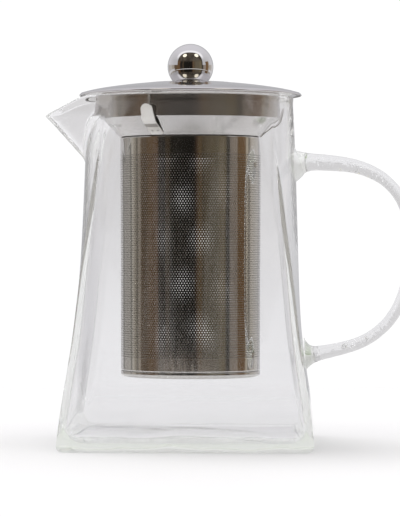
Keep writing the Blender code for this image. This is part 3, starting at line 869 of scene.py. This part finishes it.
# ---------------------------------------------------------------- spring clips
# (radius, height) of the strip's middle, from its foot to its tip
CLIP_LINE = (
    (29.35, 125.75), (30.3, 126.55), (31.2, 127.2), (32.8, 128.2), (34.7, 129.25), (36.1, 130.3),
    (37.1, 131.6), (37.75, 133.4), (38.3, 135.4), (38.65, 136.7), (38.88, 137.55))
CLIP_WIDTH, CLIP_SHEET = 5.6, 0.4
CLIP_TIP_R = 0.5 * CLIP_WIDTH
CLIP_FOOT_R = 0.8
CLIP_ACROSS = 22                 # faces across the strip
CLIP_CROWN = 0.10                # the strip is very slightly bowed across
# two weld dimples: distance from the foot, offset to each side, depth, spread, worked radius
WELD_AT, WELD_SIDE, WELD_DEPTH, WELD_SPREAD, WELD_R = 2.3, 1.25, 0.20, 0.50, 0.42
FOLD_FROM, FOLD_TO = 5.0, 7.4    # painted shade along the fold, from the foot


def clip_half_width(along, total):
    """Half the strip's width: a rounded tip and eased corners at the foot."""
    half = CLIP_TIP_R
    left = total - along
    if left < CLIP_TIP_R:
        half = sqrt(max(CLIP_TIP_R**2 - (CLIP_TIP_R - left) ** 2, 0.04))
    if along < CLIP_FOOT_R:
        half = (CLIP_TIP_R - CLIP_FOOT_R
                + sqrt(max(CLIP_FOOT_R**2 - (CLIP_FOOT_R - along) ** 2, 0.0)))
    return half


def clip_bulge(along, y):
    """How far the strip stands out from its line: the crown, less the weld dimples."""
    dimples = sum(WELD_DEPTH * exp(-(((y - weld) / WELD_SPREAD) ** 2
                                     + ((along - WELD_AT) / WELD_SPREAD) ** 2))
                  for weld in (-WELD_SIDE, WELD_SIDE))
    return CLIP_CROWN * (1.0 - (y / CLIP_TIP_R) ** 2) - dimples


def build_clip(place):
    """One bent strip, its foot welded to the collar."""
    joint = next(j for j in frame["joints"] if j["name"] == "clip_%s_flex" % place)
    bearing = atan2(joint["pos_m"][1], joint["pos_m"][0])
    cos_b, sin_b = cos(bearing), sin(bearing)
    line, along = spline(CLIP_LINE, 8)
    length = np.concatenate(([0.0], np.cumsum(np.linalg.norm(np.diff(line, axis=0), axis=1))))
    share = np.linspace(-1.0, 1.0, CLIP_ACROSS + 1)
    verts = []
    for side in (0.5, -0.5):     # the outer face, then the inner one
        for (radius, height), (run, rise), at in zip(line, along, length):
            for y in share * clip_half_width(at, length[-1]):
                offset = side * CLIP_SHEET + clip_bulge(at, y)
                out = radius + rise * offset
                verts.append((out * cos_b - y * sin_b, out * sin_b + y * cos_b,
                              height - run * offset))
    width, depth = len(share), len(line)
    size = width * depth
    faces, slots = [], []
    for j in range(depth - 1):
        middle = 0.5 * (length[j] + length[j + 1])
        for i in range(CLIP_ACROSS):
            a = j * width + i
            faces.append((a, a + 1, a + width + 1, a + width))
            faces.append((size + a, size + a + width, size + a + width + 1, size + a + 1))
            y = 0.5 * (share[i] + share[i + 1]) * CLIP_TIP_R
            weld = min(hypot(y - WELD_SIDE, middle - WELD_AT),
                       hypot(y + WELD_SIDE, middle - WELD_AT)) < WELD_R
            # slot 1: the weld marks, and painted shade along the fold
            slots += [1 if weld or FOLD_FROM < middle < FOLD_TO else 0] * 2
    for j in range(depth - 1):   # the long edges
        for side in (0, CLIP_ACROSS):
            a = j * width + side
            quad = (a, a + width, size + a + width, size + a)
            faces.append(quad if side == 0 else quad[::-1])
    for i in range(CLIP_ACROSS):     # foot and tip
        faces.append((i + 1, i, size + i, size + i + 1))
        a = (depth - 1) * width + i
        faces.append((a, a + 1, size + a + 1, size + a))
    slots += [0] * (len(faces) - len(slots))
    clip = outward(make_mesh("clip_strip_" + place, verts, faces,
                             [STEEL["satin_clip_steel_painted_light"], STEEL["weld_and_fold_shade_steel"]], 50.0, slots))
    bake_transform(clip)
    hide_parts("spring_clip_" + place)


for place in ("front", "right", "back"):
    build_clip(place)


# ================================================================ lid
COVER_LOW, COVER_HIGH = node_box("lid_cover")
RING_LOW, RING_HIGH = node_box("lid_ring")
KNOB_LOW, KNOB_HIGH = node_box("knob")
SCREW_BOX_LOW, SCREW_BOX_HIGH = node_box("knob_screw")
WASHER_LOW, WASHER_HIGH = node_box("knob_washer")
LID_R, LID_TOP, RIM_LOW = COVER_HIGH[0], COVER_HIGH[2], COVER_LOW[2]
LID_SHEET = 0.6
LID_HOLE_R = 2.5
# (radius, height from the lid's top): a raised middle, a groove round it, then the dome
CROWN = (
    (0.0, 0.0), (2.5, 0.0), (5.4, -0.02), (6.2, -0.20), (7.2, -0.74), (9.0, -0.66),
    (14.0, -0.36), (16.5, -0.42), (20.0, -0.80), (25.0, -1.3), (33.4, -2.4), (39.5, -3.42),
    (42.5, -4.1), (44.6, -4.72))
# (radius, height) of the rolled rim, from the top of the dome's edge round to its underside
RIM = [
    (45.1, LID_TOP - 5.0), (45.35, LID_TOP - 5.22), (LID_R, LID_TOP - 5.5),
    (LID_R, RIM_LOW + 0.12), (LID_R - 0.1, RIM_LOW), (LID_R - 0.5, RIM_LOW),
    (LID_R - 0.6, RIM_LOW + 0.12), (LID_R - 0.62, LID_TOP - 5.45), (LID_R - 0.9, LID_TOP - 5.35)]
RIM_OUTSIDE = 4                  # points of the rim that belong to the polished outside


def build_cover():
    """The domed cover with its rim, polished outside and satin underneath, where a dark colour
    paints the shade under the lid.
    """
    crown = monotone([radius for radius, _ in CROWN], [LID_TOP + drop for _, drop in CROWN])
    out = np.concatenate(([LID_HOLE_R], np.arange(3.6, 20.0, 0.4), np.arange(20.0, 44.0, 1.0),
                          [44.3, 44.8]))
    back = np.concatenate(([44.0], np.arange(43.0, 20.0, -1.0), np.arange(20.0, 3.4, -0.4),
                           [LID_HOLE_R]))
    profile = ([(radius, float(crown(radius))) for radius in out] + RIM
               + [(radius, float(crown(radius)) - LID_SHEET) for radius in back])
    polished = len(out) + RIM_OUTSIDE
    slots = [0] * polished + [1] * (len(profile) - 1 - polished) + [0]
    cover = turned("lid_cover_sheet", profile,
                   [STEEL["polished_lid_steel"], STEEL["satin_lid_underside_painted_shade"]],
                   sides=320, angle=45.0, slots=slots)
    register(cover, "lid", "lid_steel", "lid_cover")


def build_lid_ring():
    """The ring under the cover: an upright wall turned in at the top."""
    radius, low, high = RING_HIGH[0], RING_LOW[2], RING_HIGH[2]
    inner_r = 32.4
    points = ((radius, high - 0.52), (radius, low), (radius - SHEET, low),
              (radius - SHEET, high - 0.52 - SHEET), (inner_r, high - 0.5), (inner_r, high))
    profile = rounded(points, (0.9, 0.15, 0.15, 0.5, 0.1, 0.1), 5)
    lid_ring = turned("lid_locating_ring", profile, [STEEL["satin_collar_steel_painted_shade"]])
    register(lid_ring, "lid", "collar_steel", "lid_ring")


BORE_R, BORE_TOP, BORE_TIP = 2.3, 156.5, 157.4   # the knob's screw hole and its drilled point


def build_knob():
    """A ball cut off flat at its foot, with a bore up its middle."""
    radius, foot = KNOB_HIGH[0], KNOB_LOW[2]
    centre = KNOB_HIGH[2] - radius
    foot_r = sqrt(radius**2 - (centre - foot) ** 2)
    foot_turn = -atan2(centre - foot, foot_r)
    steps = 72
    ball = [(0.0, centre + radius)]
    for k in range(1, steps + 1):
        angle = pi / 2 + (foot_turn - pi / 2) * k / steps
        ball.append((radius * cos(angle), centre + radius * sin(angle)))
    ball[-1] = (ball[-1][0] - 0.05, ball[-1][1] + 0.05)     # ease the edge of the foot
    ball += [(foot_r - 0.25, foot), (BORE_R + 0.3, foot), (BORE_R, foot + 0.3),
             (BORE_R, BORE_TOP), (0.0, BORE_TIP)]
    knob = turned("knob_ball", ball, [STEEL["mirror_knob_steel"]], sides=144)
    register(knob, "lid", "knob_steel", "knob")


SCREW_TOP, SCREW_LOW = SCREW_BOX_HIGH[2], SCREW_BOX_LOW[2]
HEAD_R, HEAD_HIGH = SCREW_BOX_HIGH[0], 146.25
HEAD_ROUND = 1.1
THREAD_R, THREAD_DEPTH, PITCH = 2.0, 0.38, 0.7
SCREW_SIDES = 48
RECESS = (4.0, 0.85, 2.4)        # length, width and height of each blade that cuts the cross


def build_screw():
    """The knob's screw, head down, with a real thread form and a cross recess."""
    turns = np.arange(SCREW_SIDES) * 2.0 * pi / SCREW_SIDES
    stations = []
    for z in np.arange(SCREW_TOP, HEAD_HIGH + 0.05, -PITCH / 8.0):
        # the thread runs out at both ends, and the shank's top is chamfered
        depth = (np.clip((SCREW_TOP - z) / 0.7, 0.0, 1.0)
                 * np.clip((z - HEAD_HIGH - 0.3) / 0.7, 0.0, 1.0))
        phase = np.abs(((z / PITCH + turns / (2.0 * pi)) % 1.0) - 0.5) * 2.0
        chamfer = 0.35 * np.clip(1.0 - (SCREW_TOP - z) / 0.5, 0.0, 1.0)
        stations.append((THREAD_R - THREAD_DEPTH * depth * phase - chamfer, z))
    stations += [(THREAD_R, HEAD_HIGH), (HEAD_R - 0.15, HEAD_HIGH), (HEAD_R, HEAD_HIGH - 0.15),
                 (HEAD_R, SCREW_LOW + HEAD_ROUND)]
    for k in range(1, 7):
        angle = radians(15.0 * k)
        stations.append((HEAD_R - HEAD_ROUND * (1.0 - cos(angle)),
                         SCREW_LOW + HEAD_ROUND * (1.0 - sin(angle))))
    rings = [np.column_stack((radius * np.cos(turns), radius * np.sin(turns),
                              np.full(SCREW_SIDES, z))) for radius, z in stations]
    screw = outward(make_mesh("knob_fixing_screw", *skin(rings, rising=False),
                              [STEEL["plated_fixing_steel"]], 30.0))
    for k in range(2):
        combine(screw, recess_blade(k * pi / 2), "DIFFERENCE")
    shade(screw, 30.0)
    register(screw, "lid", "fixing_steel", "knob_screw")


def recess_blade(turn):
    """A block at the bottom of the screw's head that cuts one slot of its cross."""
    blade = bmesh.new()
    bmesh.ops.create_cube(blade, size=1.0)
    shape = Matrix.Rotation(turn, 4, "Z") @ Matrix.Diagonal((*RECESS, 1.0))
    bmesh.ops.transform(blade, matrix=shape, verts=blade.verts)
    for vert in blade.verts:
        vert.co = (vert.co + Vector((0.0, 0.0, SCREW_LOW))) * MM
    mesh = bpy.data.meshes.new("recess")
    blade.to_mesh(mesh)
    blade.free()
    cutter = bpy.data.objects.new("recess", mesh)
    bpy.context.scene.collection.objects.link(cutter)
    return cutter


def build_washer():
    outer, low, high = WASHER_HIGH[0], WASHER_LOW[2], WASHER_HIGH[2]
    points = ((outer, high), (outer, low), (BORE_R, low), (BORE_R, high))
    washer = turned("knob_fixing_washer", rounded(points, (0.2, 0.2, 0.1, 0.1), 4),
                    [STEEL["plated_fixing_steel"]], sides=96)
    register(washer, "lid", "fixing_steel", "knob_washer")


build_cover()
build_lid_ring()
build_knob()
build_screw()
build_washer()


# ================================================================ floor
FLOOR_Z = -0.00005
FLOOR_SIDES = 72
FLOOR_RADII = (0.08, 0.14, 0.20, 0.28, 0.38, 0.52)
FLOOR_GLOW_THROUGH_GLASS = (0.985, 0.98, 1.0)   # painted glow: the even light the sheet gives off as seen through the glass


def floor_material():
    """White paper that fades to clear towards its edge."""
    material, nodes = new_material("white_sweep")
    place = nodes.add("NewGeometry")["Position"]
    fibre = nodes.noise(place, scale=900.0, detail=2.0, roughness=0.6)
    paper = nodes.add("BsdfPrincipled", {
        "Base Color": nodes.mix(fibre, (0.80, 0.795, 0.80), (0.83, 0.825, 0.83)),
        "Roughness": 0.7,
        "Specular IOR Level": 0.15})
    x, y, _ = nodes.split(place)
    faded = nodes.smooth(nodes.axis_distance(x, y), over=(0.22, 0.50))
    clear = nodes.add("BsdfTransparent")
    # through the walls of the jug the sheet glows with even painted light, as flat as the tent
    # behind it
    through = nodes.add("LightPath")["Transmission Depth"] > 0.5
    flat = nodes.add("Emission", {"Color": FLOOR_GLOW_THROUGH_GLASS})
    sheet = nodes.mix_shaders(through * 0.82, paper, flat)
    nodes.add("OutputMaterial", {"Surface": nodes.mix_shaders(faded, sheet, clear)})
    return material


def build_floor():
    """A white sheet that runs out into the white around it."""
    count = FLOOR_SIDES
    verts = [(0.0, 0.0, FLOOR_Z)]
    for radius in FLOOR_RADII:
        verts.extend((radius * cos(2 * pi * i / count), radius * sin(2 * pi * i / count), FLOOR_Z)
                     for i in range(count))
    faces = [(0, 1 + i, 1 + (i + 1) % count) for i in range(count)]
    for j in range(len(FLOOR_RADII) - 1):
        inner, outer = 1 + j * count, 1 + (j + 1) * count
        faces.extend((inner + i, outer + i, outer + (i + 1) % count, inner + (i + 1) % count)
                     for i in range(count))
    mesh = bpy.data.meshes.new("floor")
    mesh.from_pydata(verts, [], faces)
    mesh.materials.append(floor_material())
    floor = bpy.data.objects.new("floor", mesh)
    bpy.context.scene.collection.objects.link(floor)


# ================================================================ world
CAMERA_BEARING = radians(2.6)    # from -Y towards +X
ROOM_TURN = 5.8                  # degrees the room is turned past the camera's bearing
ROOM_GAIN = 1.75
# bearing from the camera's side towards +X, degrees, and the 8-bit sRGB colour that
# polished steel shows there
ROOM = (
    (-160, (156, 155, 152)), (-137, (147, 143, 140)), (-122, (156, 153, 148)),
    (-108, (134, 128, 118)), (-97, (132, 124, 115)), (-94, (84, 71, 58)), (-84, (73, 61, 48)),
    (-76, (84, 66, 46)), (-62, (79, 60, 42)), (-59, (40, 34, 28)), (-48, (28, 26, 23)),
    (-46, (56, 48, 37)), (-40, (52, 44, 34)), (-38.5, (24, 23, 19)), (1.5, (21, 19, 16)),
    (4, (50, 37, 28)), (8, (80, 67, 50)), (12, (80, 67, 50)), (14, (68, 60, 48)),
    (20, (80, 73, 61)), (40, (81, 75, 62)), (44, (91, 82, 65)), (53, (86, 77, 61)),
    (55.5, (50, 47, 42)), (60.5, (50, 47, 43)), (63, (112, 104, 97)), (77, (124, 114, 105)),
    (79, (91, 71, 50)), (95, (97, 75, 53)), (98, (134, 127, 116)), (120, (150, 146, 142)),
    (140, (184, 182, 181)))
# the same bearing, and how many times brighter a narrow strip of the room is there
STRIPS = (
    (-156, 1.0), (-151.5, 0.5), (-147.5, 0.55), (-144, 1.0), (-125, 1.0), (-122.5, 0.5),
    (-119.5, 0.5), (-117.5, 1.25), (-113.5, 1.25), (-111, 1.0), (-107, 0.95), (-105.5, 0.55),
    (-102.5, 0.5), (-100.5, 1.05), (-97, 1.0), (97, 1.0), (98.5, 1.45), (101.5, 1.3),
    (104.5, 0.65), (108, 0.65), (111, 1.3), (119, 1.35), (124, 1.1), (137, 1.0), (140, 0.7),
    (143.5, 0.7), (147, 1.0))
# noise value and colour of the clutter on the table
CLUTTER = (
    (0.38, (0.030, 0.026, 0.022)), (0.46, (0.17, 0.125, 0.09)), (0.52, (0.60, 0.54, 0.50)),
    (0.58, (0.24, 0.21, 0.18)), (0.64, (0.04, 0.035, 0.03)))
ROOM_PATCH, ROOM_BELOW = (0.035, 0.032, 0.028), (0.80, 0.785, 0.77)
ROOM_ABOVE = (0.060, 0.050, 0.038), (0.125, 0.105, 0.080)
TENT_SIDE, TENT_BACK, TENT_FAR = (0.58, 0.575, 0.585), (0.74, 0.73, 0.755), (0.52, 0.52, 0.54)
TENT_TOP, TENT_LOW, TENT_BRIM = (0.80, 0.79, 0.83), (0.80, 0.79, 0.79), (1.25, 1.24, 1.26)
BACKDROP_LOW, BACKDROP_HIGH = (1.03, 1.025, 1.045), (0.78, 0.77, 0.78)
# the sheen on steel inside the glass: its colour, and its share after one and more reflections
SHEEN, SHEEN_ONCE, SHEEN_OFTEN = (0.84, 0.835, 0.84), (0.06, 0.70), 0.8
SKY = (1.13, 1.125, 1.135)       # what lights matt surfaces
SURROUND = (1.03, 1.03, 1.03)    # what the camera sees directly


def linear_channel(value):
    """A linear value from an 8-bit sRGB one."""
    share = value / 255.0
    return share / 12.92 if share <= 0.04045 else ((share + 0.055) / 1.055) ** 2.4


def bearing_ramp(nodes, bearing, stops):
    """A colour ramp whose stops are placed by bearing in degrees."""
    return nodes.ramp(nodes.linear(bearing, over=(-180.0, 180.0)),
                      [((at + 180.0) / 360.0, colour) for at, colour in stops])


def room_colour(nodes, direction, bearing, z):
    """The dim room: upright stripes, patchy, closed above and pale below."""
    stops = [(at, tuple(ROOM_GAIN * linear_channel(value) for value in colour))
             for at, colour in ROOM]
    room = bearing_ramp(nodes, bearing, stops)
    patch = nodes.noise(nodes.stretch(direction, scale=(3.0, 3.0, 4.0)),
                        scale=1.0, detail=3.0, roughness=0.55)
    room = nodes.mix(nodes.smooth(patch, over=(0.52, 0.80), to=(0.0, 0.16)), room, ROOM_PATCH)
    above = nodes.mix(nodes.smooth(patch, over=(0.35, 0.65)), *ROOM_ABOVE)
    room = nodes.mix(nodes.smooth(z, over=(0.30, 0.55)), room, above)
    return nodes.mix(nodes.smooth(z, over=(-0.200, -0.222)), room, ROOM_BELOW)


def opening_corner(nodes, x, y, z):
    """How far out a direction is in the tent's rounded opening, 1 at its edge, measured
    where a ball in front of it would show it."""
    reach = nodes.math("SQRT", nodes.math("MAXIMUM", 2.0 - y * 2.0, 0.0001))
    across = abs(x / reach)
    upward = z / reach
    half_width, half_height, power = 0.545, 0.60, 2.6
    return (across / half_width) ** power + abs(upward / half_height) ** power


def opening_mask(nodes, corner, bearing, z):
    """Where the room shows: the front opening and the gaps on both sides."""
    smooth = nodes.smooth
    front = smooth(corner, over=(1.06, 0.94))
    low = smooth(z, over=(-0.40, -0.36)) * smooth(z, over=(0.12, 0.09))
    high = ((smooth(bearing, over=(74.0, 78.0)) * smooth(z, over=(-0.40, -0.36)))
            * (smooth(bearing, over=(104.0, 100.0)) * smooth(z, over=(0.34, 0.30))))
    near = (smooth(bearing, over=(-96.0, -92.0)) * smooth(bearing, over=(104.0, 100.0))) * low
    far = ((smooth(bearing, over=(-158.0, -150.0)) * smooth(bearing, over=(146.0, 138.0)))
           * (smooth(z, over=(-0.13, -0.10)) * smooth(z, over=(0.13, 0.10))))
    sides = nodes.math("MAXIMUM", nodes.math("MAXIMUM", near, far), high)
    return nodes.math("MAXIMUM", front, sides)


def tent_colour(nodes, corner, y, z, bare):
    """The white tent, with a bright brim over the opening."""
    smooth = nodes.smooth
    tent = nodes.mix(smooth(y, over=(-0.2, 0.9)), TENT_SIDE, TENT_BACK)
    tent = nodes.mix(smooth(z, over=(0.35, 0.9)), tent, TENT_TOP)
    tent = nodes.mix(smooth(y, over=(0.72, 0.96)) * bare, tent, TENT_FAR)
    tent = nodes.mix(smooth(z, over=(-0.05, -0.45)), tent, TENT_LOW)
    brim = (smooth(corner, over=(1.55, 1.25)) * smooth(z, over=(0.45, 0.75))) * 0.8
    return nodes.mix(brim, tent, TENT_BRIM)


def with_clutter(nodes, seen, direction, bearing, z, bare):
    """Clutter in a low band on the camera's side, seen only through the glass."""
    smooth = nodes.smooth
    noise = nodes.noise(nodes.stretch(direction, scale=(4.5, 4.5, 260.0)),
                        scale=1.0, detail=2.0, roughness=0.5)
    clutter = nodes.ramp(noise, CLUTTER)
    table = ((smooth(bearing, over=(-66.0, -56.0)) * smooth(bearing, over=(48.0, 38.0)))
             * (smooth(z, over=(-0.0430, -0.0475)) * (1.0 - bare)))
    table = table * smooth(z, over=(-0.085, -0.070))
    return nodes.mix(table, seen, clutter)


def with_strips(nodes, seen, bearing, bare):
    """Narrow upright strips, as polished steel inside the glass shows them near its edges."""
    # halved to fit the ramp, and doubled again after it
    strips = bearing_ramp(nodes, bearing, [(at, (0.5 * share,) * 3) for at, share in STRIPS])
    change = nodes.split(strips)[0] * 2.0 - 1.0
    return nodes.add("VectorMath", {0: seen, "Scale": 1.0 + change * (1.0 - bare)},
                     operation="SCALE")


def build_world():
    """A white tent, open towards the camera onto a dim room: brown towards -X, nearly black
    ahead, olive towards +X.  Polished steel shows it as upright stripes."""
    world = bpy.data.worlds.new("studio")
    bpy.context.scene.world = world
    nodes = Nodes(world)
    direction = nodes.add("TexCoord")["Generated"]
    x, y, z = nodes.split(direction)
    bearing = (nodes.math("ARCTAN2", x, y * -1.0) * (180.0 / pi)
               + (-degrees(CAMERA_BEARING) - ROOM_TURN))
    # upright edges in the room waver a little
    waver = nodes.noise(nodes.stretch(direction, scale=(2.0, 2.0, 7.0)),
                        scale=1.0, detail=3.0, roughness=0.55)
    bearing = bearing + nodes.linear(waver, over=(0.3, 0.7), to=(-1.2, 1.2))
    path = nodes.add("LightPath")
    bare = path["Transmission Depth"] < 0.5
    room = room_colour(nodes, direction, bearing, z)
    corner = opening_corner(nodes, x, y, z)
    mask = opening_mask(nodes, corner, bearing, z)
    seen = nodes.mix(mask, tent_colour(nodes, corner, y, z, bare), room)
    seen = with_clutter(nodes, seen, direction, bearing, z, bare)
    seen = with_strips(nodes, seen, bearing, bare)
    # what shows through the glass: the tent's back, which is not lit as evenly as its front
    backdrop = nodes.mix(nodes.smooth(z, over=(-0.070, 0.055)), BACKDROP_LOW, BACKDROP_HIGH)
    through = path["Glossy Depth"] < 0.5
    inside = (path["Transmission Depth"] > 0.5) * (path["Transmission Depth"] < 3.5)
    once = nodes.smooth(y, over=(-0.50, -0.05), to=SHEEN_ONCE)
    often = nodes.smooth(path["Glossy Depth"], over=(1.2, 1.8), to=(0.0, SHEEN_OFTEN))
    seen = nodes.mix(inside * nodes.math("MAXIMUM", once, often), seen, SHEEN)
    seen = nodes.mix(through, seen, backdrop)
    lit = nodes.mix(path["Is Diffuse Ray"], seen, SKY)
    shown = nodes.mix(path["Is Camera Ray"], lit, SURROUND)
    background = nodes.add("Background", {"Color": shown, "Strength": 1.0})
    nodes.add("OutputWorld", {"Surface": background})


# ================================================================ lamps and camera
LAMP_AIM = Vector((0.0, 0.0, 0.08))


def lamp(name, bearing, elevation, distance, size, power, colour=(1.0, 1.0, 1.0), mirrored=True):
    """A round lamp aimed at the pot; bearing is from -Y towards +X, in degrees."""
    data = bpy.data.lights.new(name, "AREA")
    data.shape = "DISK"
    data.size = size
    data.energy = power
    data.color = colour
    obj = bpy.data.objects.new(name, data)
    bpy.context.scene.collection.objects.link(obj)
    turn, rise = radians(bearing), radians(elevation)
    away = Vector((sin(turn) * cos(rise), -cos(turn) * cos(rise), sin(rise)))
    obj.location = LAMP_AIM + away * distance
    obj.rotation_euler = away.to_track_quat("Z", "Y").to_euler()
    obj.visible_glossy = mirrored
    obj.visible_transmission = mirrored
    obj.visible_camera = False


CAMERA_DISTANCE, CAMERA_Z = 1.066, 0.0834
LENS, SENSOR = 181.395349, 36.0                      # millimetres
CAMERA_SHIFT_X, CAMERA_SHIFT_Y = 0.0184108527, -0.0348837209   # shares of the picture's width


def build_camera():
    data = bpy.data.cameras.new("camera")
    camera = bpy.data.objects.new("camera", data)
    bpy.context.scene.collection.objects.link(camera)
    camera.location = (sin(CAMERA_BEARING) * CAMERA_DISTANCE,
                       -cos(CAMERA_BEARING) * CAMERA_DISTANCE, CAMERA_Z)
    camera.rotation_euler = (pi / 2, 0.0, CAMERA_BEARING)
    data.sensor_width = SENSOR
    data.lens = LENS
    data.shift_x = CAMERA_SHIFT_X
    data.shift_y = CAMERA_SHIFT_Y
    data.clip_start = 0.01
    bpy.context.scene.camera = camera


build_floor()
build_world()
for side, bearing in (("left", -41.8), ("right", 44.6)):
    lamp("lamp_" + side, bearing=bearing + degrees(CAMERA_BEARING), elevation=54.8,
         distance=1.15, size=0.33, power=0.40, colour=(1.0, 0.94, 0.76))
lamp("soft_key", bearing=-128.0, elevation=64.0, distance=2.5, size=1.3, power=15.0,
     mirrored=False)
build_camera()

scene = bpy.context.scene
scene.view_settings.view_transform = "Standard"
scene.view_settings.look = "None"
scene.cycles.max_bounces = 24
scene.cycles.transmission_bounces = 20
scene.cycles.glossy_bounces = 8
scene.cycles.transparent_max_bounces = 24
scene.cycles.caustics_reflective = False
scene.cycles.caustics_refractive = False
